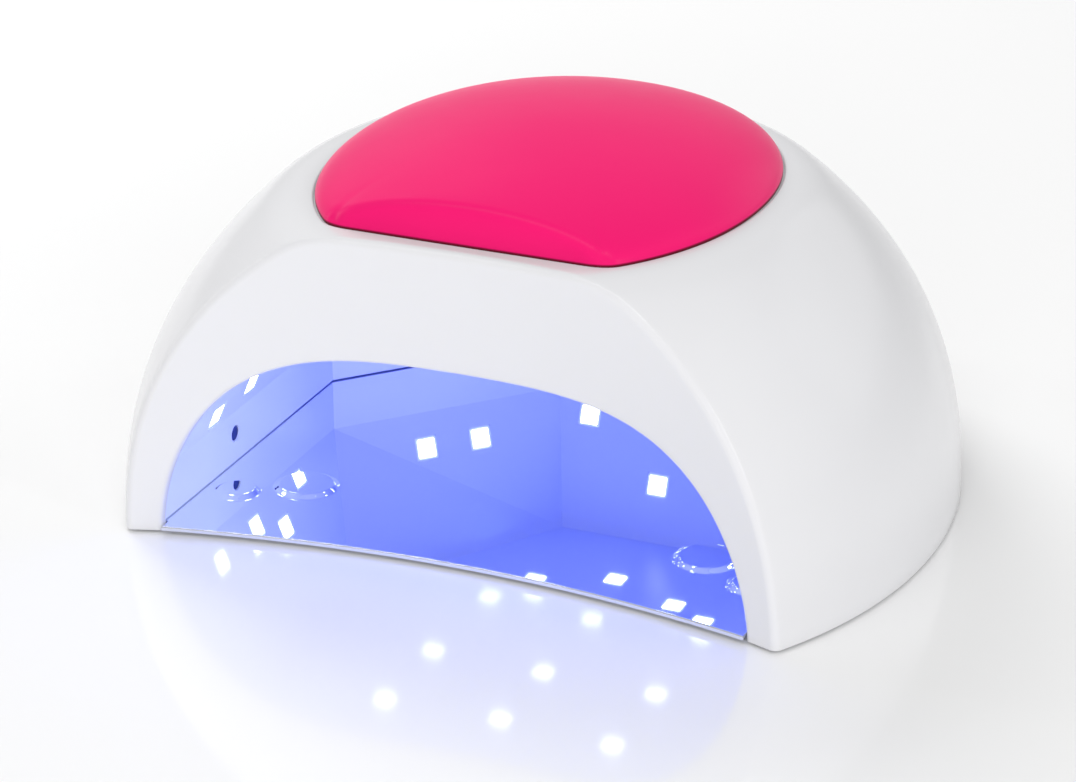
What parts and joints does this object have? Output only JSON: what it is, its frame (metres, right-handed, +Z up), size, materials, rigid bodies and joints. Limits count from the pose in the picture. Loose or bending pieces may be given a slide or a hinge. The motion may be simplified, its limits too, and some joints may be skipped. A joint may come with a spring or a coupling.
{
  "type": "uv led nail lamp",
  "caption": "Domed table lamp that cures nail gel: a hand opening over a mirror base plate, lit diodes inside, a soft lift-off pad on top and timer buttons at the back.",
  "frame": {"origin": "on the table under the middle of the lamp's plan, at the bottom of the rubber feet", "axes": "+X to the right as seen from the front, +Y to the back, away from the hand opening, +Z up"},
  "size_m": [0.23, 0.2031, 0.1105],
  "materials": {
    "housing": "glossy white moulded ABS with a faint orange-peel",
    "pad_silicone": "satin pink silicone rubber, soft touch",
    "liner": "smooth white reflector, satin",
    "frame": "fine-textured white moulding",
    "mirror_steel": "polished stainless steel, mirror finish, brushed underneath",
    "foot_rubber": "matt black rubber",
    "magnet_nickel": "nickel plated",
    "screw_steel": "zinc plated steel",
    "led_board": "white solder mask with lit diodes",
    "sensor_lens": "dark infrared-pass plastic, glossy",
    "bezel": "glossy white moulding",
    "display_lens": "smoked glossy lens",
    "button": "satin grey caps",
    "component": "black moulded components",
    "circuit_board": "green solder mask",
    "capacitor": "printed sleeve",
    "coil": "enamelled copper windings",
    "heat_sink": "plain extruded aluminium",
    "inlet": "black moulded socket",
    "lead": "soft sheath"
  },
  "bodies": {
    "housing": {"top_shell": "housing", "inner_liner": "liner", "lower_frame": "frame", "magnet_1": "magnet_nickel", "magnet_2": "magnet_nickel", "magnet_3": "magnet_nickel", "magnet_4": "magnet_nickel", "frame_screw_1": "screw_steel", "frame_screw_2": "screw_steel", "frame_screw_3": "screw_steel", "frame_screw_4": "screw_steel", "frame_screw_5": "screw_steel", "frame_screw_6": "screw_steel", "control_screw_1": "screw_steel", "control_screw_2": "screw_steel", "led_board_ceiling": "led_board", "led_board_left": "led_board", "led_board_right": "led_board", "led_board_rear_left": "led_board", "led_board_rear_right": "led_board", "led_board_rear": "led_board", "ir_emitter": "sensor_lens", "ir_receiver": "sensor_lens", "control_bezel": "bezel", "display_window": "display_lens", "display_module": "component", "switch_1": "component", "switch_2": "component", "switch_3": "component", "switch_4": "component", "control_board": "circuit_board", "driver_board": "circuit_board", "capacitor_1": "capacitor", "capacitor_2": "capacitor", "inductor": "coil", "heat_sink": "heat_sink", "dc_jack_nut": "heat_sink", "dc_jack": "inlet", "dc_lead": "lead", "ribbon_cable": "lead", "led_lead": "lead"},
    "base_tray": {"base_plate": "mirror_steel", "rubber_foot_1": "foot_rubber", "rubber_foot_2": "foot_rubber", "rubber_foot_3": "foot_rubber", "rubber_foot_4": "foot_rubber"},
    "pad": {"silicone_pad": "pad_silicone"},
    "button_10s": {"button_10s": "button"},
    "button_30s": {"button_30s": "button"},
    "button_60s": {"button_60s": "button"},
    "button_99s": {"button_99s": "button"}
  },
  "joints": [
    {"name": "housing_lift", "type": "slide", "parent": "base_tray", "child": "housing", "axis": [0, 0, 1], "range_m": [0, 0.06]},
    {"name": "pad_lift", "type": "slide", "parent": "housing", "child": "pad", "axis": [0, 0, 1], "range_m": [0, 0.04]},
    {"name": "button_10s_press", "type": "slide", "parent": "housing", "child": "button_10s", "axis": [0, -0.7182, -0.6959], "range_m": [0, 0.0006], "stiffness_N_per_m": 300, "springref_m": -0.002},
    {"name": "button_30s_press", "type": "slide", "parent": "housing", "child": "button_30s", "axis": [0, -0.7182, -0.6959], "range_m": [0, 0.0006], "stiffness_N_per_m": 300, "springref_m": -0.002},
    {"name": "button_60s_press", "type": "slide", "parent": "housing", "child": "button_60s", "axis": [0, -0.7182, -0.6959], "range_m": [0, 0.0006], "stiffness_N_per_m": 300, "springref_m": -0.002},
    {"name": "button_99s_press", "type": "slide", "parent": "housing", "child": "button_99s", "axis": [0, -0.7182, -0.6959], "range_m": [0, 0.0006], "stiffness_N_per_m": 300, "springref_m": -0.002}
  ]
}
